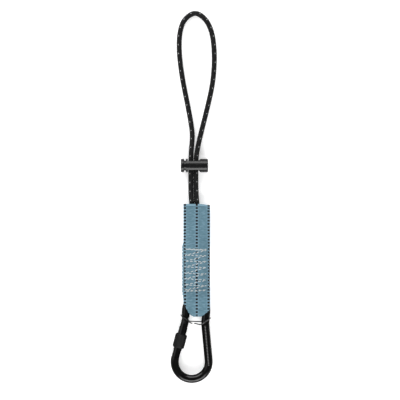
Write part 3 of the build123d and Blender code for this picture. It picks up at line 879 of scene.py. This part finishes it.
# %% Sleeve surface
GATE_AXIS = np.array(joints["sleeve_travel"]["axis"], float)
HINGE = np.array(joints["gate_hinge"]["pos_m"]) / MM
SLEEVE_START, SLEEVE_LENGTH = 12.2, 13.5    # mm from the hinge
sleeve_low, sleeve_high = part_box("screw_sleeve")
SLEEVE_RADIUS = (sleeve_high.z - sleeve_low.z) / 2 / MM
SLEEVE_BORE = 4.35
SLEEVE_CHAMFER = 0.9
BORE_CHAMFER = 0.3
BORE_POINTS, SHELL_POINTS, SLEEVE_STEPS = 8, 110, 340      # steps go round the sleeve
KNURL_TEETH = 34            # round the sleeve, in each direction
KNURL_DEPTH = 0.24


def knurl(along, turn):
    """Depth below the crests: the nearer of two slanted families of V grooves."""
    pitch = 2 * np.pi * SLEEVE_RADIUS / KNURL_TEETH
    first = np.abs((KNURL_TEETH * turn + along / pitch) % 1 - 0.5)
    second = np.abs((KNURL_TEETH * turn - along / pitch) % 1 - 0.5)
    return KNURL_DEPTH * (1 - 2 * np.minimum(first, second)) ** 1.2


def sleeve_profile():
    """(distance, radius, knurled share) round the wall: up the bore, over a chamfer, and back outside."""
    top = SLEEVE_LENGTH
    bore = np.linspace(BORE_CHAMFER, top - BORE_CHAMFER, BORE_POINTS)
    outside = np.linspace(top - SLEEVE_CHAMFER, SLEEVE_CHAMFER, SHELL_POINTS)
    inner_lip = SLEEVE_BORE + BORE_CHAMFER
    outer_lip = SLEEVE_RADIUS - SLEEVE_CHAMFER
    middle = (SLEEVE_BORE + outer_lip) / 2
    inner = np.stack([bore, np.full(BORE_POINTS, SLEEVE_BORE), 0 * bore], -1)
    far_lip = [(top, inner_lip, 0), (top, middle, 0), (top, outer_lip, 0)]
    shell = np.stack([outside, np.full(SHELL_POINTS, SLEEVE_RADIUS), np.ones(SHELL_POINTS)], -1)
    near_lip = [(0, outer_lip, 0), (0, middle, 0), (0, inner_lip, 0)]
    return np.vstack([inner, far_lip, shell, near_lip])


def sleeve_rings():
    """The profile turned about the gate's axis, one ring for each step of the turn."""
    profile = sleeve_profile()
    turn = np.arange(SLEEVE_STEPS)[:, None] / SLEEVE_STEPS
    along, radius, share = (profile[None, :, k] for k in range(3))
    radius = radius - knurl(along, turn) * share
    upright = np.array((0.0, 0.0, 1.0))
    side = np.cross(GATE_AXIS, upright)
    angle = 2 * np.pi * turn
    across = np.cos(angle)[..., None] * side + np.sin(angle)[..., None] * upright
    rings = HINGE + (SLEEVE_START + along)[..., None] * GATE_AXIS + radius[..., None] * across
    seam_turn = np.arange(SLEEVE_STEPS + 1)[:, None] / SLEEVE_STEPS
    seam_along = np.append(profile[:, 0], profile[0, 0])[None, :]
    uv = np.stack(np.broadcast_arrays(seam_turn, seam_along), -1)
    return rings * MM, uv


# %% [markdown]
# ## Metal and plastic
# The carabiner is black anodised aluminium: a dark satin skin with a fine
# grain, a little worn where it is handled. The sleeve is the same metal, blasted
# and much rougher. The lock is moulded plastic with a soft gloss, and the
# springs, the rivet and the keeper are steel.


# %% Anodised alloy
def alloy(name, dark, light, rough, grain):
    """Black anodised metal: two shades mixed by handling marks, satin, with a fine grain."""
    material, tree, shader = material_tree(name, Metallic=1.0, Specular_Tint=(0.25, 0.25, 0.25, 1))
    marks = use_group(tree, marks_group, {"Scale": 260.0, "Sharpness": 5.0})
    color = blend_colors(tree, marks.outputs["Mask"], dark, light)
    tree.links.new(color, shader.inputs["Base Color"])
    roughness = calc(tree, "MULTIPLY_ADD", marks.outputs["Mask"], 0.12, rough)
    tree.links.new(roughness, shader.inputs["Roughness"])
    skin = use_group(tree, grain_group, {"Scale": grain, "Strength": 0.25, "Depth": 0.00003})
    tree.links.new(skin.outputs["Normal"], shader.inputs["Normal"])
    return material, tree, shader


black_alloy, bar_tree, bar_shader = alloy(
    "black_anodised", (0.026, 0.026, 0.026, 1), (0.040, 0.040, 0.040, 1), 0.17, 2600.0
)
knurled_alloy, _, _ = alloy(
    "knurled_anodised", (0.022, 0.022, 0.022, 1), (0.034, 0.034, 0.034, 1), 0.5, 4000.0
)

# %% Tick marks on the spine
TICK_START, TICK_END = -69.0, -31.0         # mm along Y
TICK_PITCH = 1.45
TICK_HALF_WIDTH = 0.6
TICKS_ABOVE = 5.75          # only the upper face of the bar has them
TICK_GREY = (0.22, 0.22, 0.22, 1)
SPINE_FOOT = (16.2, -67.6)                  # middle of the spine at its lower end
SPINE_LEAN = (-0.0897, 0.996)               # its direction, up the spine

bar_place = put(bar_tree, "SeparateXYZ", {0: put(bar_tree, "TexCoord").outputs["Object"]})
from_foot_x = calc(bar_tree, "SUBTRACT", bar_place.outputs[0], SPINE_FOOT[0] * MM)
from_foot_y = calc(bar_tree, "SUBTRACT", bar_place.outputs[1], SPINE_FOOT[1] * MM)
y_up_spine = calc(bar_tree, "MULTIPLY", from_foot_y, SPINE_LEAN[1])
up_spine = calc(bar_tree, "MULTIPLY_ADD", from_foot_x, SPINE_LEAN[0], y_up_spine)
y_off_spine = calc(bar_tree, "MULTIPLY", from_foot_y, -SPINE_LEAN[0])
off_spine = calc(bar_tree, "MULTIPLY_ADD", from_foot_x, SPINE_LEAN[1], y_off_spine)
tick_wave = calc(bar_tree, "FLOORED_MODULO", up_spine, TICK_PITCH * MM)
ticks = calc(bar_tree, "LESS_THAN", tick_wave, 0.5 * TICK_PITCH * MM)
for mask in (
    calc(bar_tree, "LESS_THAN", calc(bar_tree, "ABSOLUTE", off_spine), TICK_HALF_WIDTH * MM),
    calc(bar_tree, "GREATER_THAN", bar_place.outputs[2], TICKS_ABOVE * MM),
    calc(bar_tree, "LESS_THAN", bar_place.outputs[1], TICK_END * MM),
    calc(bar_tree, "GREATER_THAN", bar_place.outputs[1], TICK_START * MM),
):
    ticks = calc(bar_tree, "MULTIPLY", ticks, mask)
plain = bar_shader.inputs["Base Color"].links[0].from_socket
ticked = blend_colors(bar_tree, calc(bar_tree, "MULTIPLY", ticks, 0.75), plain, TICK_GREY)
bar_tree.links.new(ticked, bar_shader.inputs["Base Color"])
bar_tree.links.new(calc(bar_tree, "MULTIPLY_ADD", ticks, -0.9, 1.0), bar_shader.inputs["Metallic"])


# %% Gloss plastic
lock_plastic, lock_tree, lock_shader = material_tree("gloss_plastic", IOR=1.45, Specular_IOR_Level=0.4)
lock_marks = use_group(lock_tree, marks_group, {"Scale": 300.0, "Sharpness": 3.0})
lock_color = blend_colors(
    lock_tree, lock_marks.outputs["Mask"], (0.004, 0.004, 0.0045, 1), (0.009, 0.009, 0.009, 1)
)
lock_tree.links.new(lock_color, lock_shader.inputs["Base Color"])
lock_rough = calc(lock_tree, "MULTIPLY_ADD", lock_marks.outputs["Mask"], 0.1, 0.27)
lock_tree.links.new(lock_rough, lock_shader.inputs["Roughness"])
lock_skin = use_group(lock_tree, grain_group, {"Scale": 1500.0, "Strength": 0.15, "Depth": 0.00003})
lock_tree.links.new(lock_skin.outputs["Normal"], lock_shader.inputs["Normal"])


# %% Steel
def steel(name, dark, light, rough):
    """Bare or blackened steel: metallic, with handling marks in its colour and roughness."""
    material, tree, shader = material_tree(name, Metallic=1.0)
    marks = use_group(tree, marks_group, {"Scale": 500.0, "Sharpness": 4.0})
    tree.links.new(blend_colors(tree, marks.outputs["Mask"], dark, light), shader.inputs["Base Color"])
    roughness = calc(tree, "MULTIPLY_ADD", marks.outputs["Mask"], 0.15, rough)
    tree.links.new(roughness, shader.inputs["Roughness"])
    skin = use_group(tree, grain_group, {"Scale": 5000.0, "Strength": 0.1, "Depth": 0.00002})
    tree.links.new(skin.outputs["Normal"], shader.inputs["Normal"])
    return material


spring_steel = steel("spring_steel", (0.42, 0.42, 0.43, 1), (0.55, 0.55, 0.55, 1), 0.28)
dark_wire = steel("dark_wire", (0.05, 0.05, 0.051, 1), (0.10, 0.10, 0.10, 1), 0.25)

# %% Finishes for the CAD pieces
FINISHES = {
    "carabiner_frame": black_alloy,
    "gate": black_alloy,
    "hinge_rivet": dark_wire,
    "latch_pin": black_alloy,
    "gate_plunger": spring_steel,
    "gate_spring": spring_steel,
    "wire_keeper": dark_wire,
    "lock_barrel": lock_plastic,
    "lock_plunger": lock_plastic,
}
for node, finish in FINISHES.items():
    for material_slot in frame["nodes"][node].material_slots:
        material_slot.material = finish
print("finished", len(FINISHES), "CAD pieces")

# %% Knurled sleeve
sleeve = closed_mesh("knurled_sleeve", *sleeve_rings(), knurled_alloy, joined=True)
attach(sleeve, "sleeve")
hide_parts("screw_sleeve")

# %% Lock spring
COIL_WIRE = 0.8
COIL_TURNS = 3
COIL_POINTS = 181
coil_low, coil_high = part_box("lock_spring")
coil_start, coil_end = coil_low.x / MM + COIL_WIRE / 2, coil_high.x / MM - COIL_WIRE / 2
coil_radius = (coil_high.z - coil_low.z) / MM / 2 - COIL_WIRE / 2
coil_middle = (np.array(coil_low) + np.array(coil_high)) / 2 / MM
coil_share = np.linspace(0, 1, COIL_POINTS)
coil_angle = 2 * np.pi * COIL_TURNS * coil_share
coil_line = np.stack(
    [
        coil_start + (coil_end - coil_start) * coil_share,
        coil_middle[1] + coil_radius * np.cos(coil_angle),
        coil_middle[2] + coil_radius * np.sin(coil_angle),
    ],
    -1,
)
lock_coil = tube(
    "lock_coil", coil_line * MM, 10, lambda along, turn: COIL_WIRE / 2 * MM, spring_steel,
    up=(1.0, 0.0, 0.0),
)
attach(lock_coil, "lock")
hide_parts("lock_spring")
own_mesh(lock_coil)

# %% [markdown]
# ## Floor and light
# A pale board lies under everything. Black gloss and satin metal show only what
# they mirror, so a wide soft panel stands beyond each end of the tether, a faint
# one stands at its left, and the room is dim.


# %% Floor
def floor_material():
    """Matt white board with a very faint mottle, lit a little from below as on a light table."""
    material, tree, shader = material_tree(
        "white_board",
        Specular_IOR_Level=0.1,
        Roughness=0.9,
        Emission_Color=(1, 1, 1, 1),
        Emission_Strength=0.42,
    )
    mottle = put(tree, "TexNoise", {"Scale": 30.0, "Detail": 3.0})
    tree.links.new(put(tree, "TexCoord").outputs["Object"], mottle.inputs["Vector"])
    shade = blend_colors(tree, mottle.outputs["Fac"], (0.90, 0.90, 0.90, 1), (0.92, 0.92, 0.92, 1))
    tree.links.new(shade, shader.inputs["Base Color"])
    return material


FLOOR_HALF = 1.5
FLOOR_Z = -0.1 * MM
floor_signs = ((-1, -1), (1, -1), (1, 1), (-1, 1))
floor_corners = [(x * FLOOR_HALF, y * FLOOR_HALF, FLOOR_Z) for x, y in floor_signs]
floor_mesh = bpy.data.meshes.new("floor")
floor_mesh.from_pydata(floor_corners, [], [(0, 1, 2, 3)])
floor_mesh.materials.append(floor_material())
floor = bpy.data.objects.new("floor", floor_mesh)
bpy.context.scene.collection.objects.link(floor)


# %% Lights
def panel(name, place, size, power):
    """A soft rectangular light that faces the middle of the object."""
    data = bpy.data.lights.new(name, "AREA")
    data.shape = "RECTANGLE"
    data.size, data.size_y = size
    data.energy = power
    lamp = bpy.data.objects.new(name, data)
    bpy.context.scene.collection.objects.link(lamp)
    lamp.location = place
    aim = Vector((look[0], look[1], 0)) - Vector(place)
    lamp.rotation_euler = aim.to_track_quat("-Z", "Y").to_euler()


panel("far_panel", (-0.25, 1.15, 0.72), (1.6, 0.8), 20.0)
panel("near_panel", (0.1, -1.1, 0.72), (1.5, 0.7), 24.0)
panel("side_panel", (-1.1, 0.1, 0.9), (0.5, 0.9), 1.5)
SKY_LIGHT, SKY_SEEN = 0.2, 0.85     # a dim room, behind a pale backdrop
world = bpy.data.worlds.new("studio")
world.use_nodes = True
backdrop = world.node_tree.nodes["Background"]
backdrop.inputs[0].default_value = (1.0, 1.0, 1.0, 1)
seen = put(world.node_tree, "LightPath").outputs["Is Camera Ray"]
sky = calc(world.node_tree, "MULTIPLY_ADD", seen, SKY_SEEN - SKY_LIGHT, SKY_LIGHT)
world.node_tree.links.new(sky, backdrop.inputs[1])
bpy.context.scene.world = world
bpy.context.scene.view_settings.view_transform = "Standard"
print("lights:", len(bpy.data.lights))
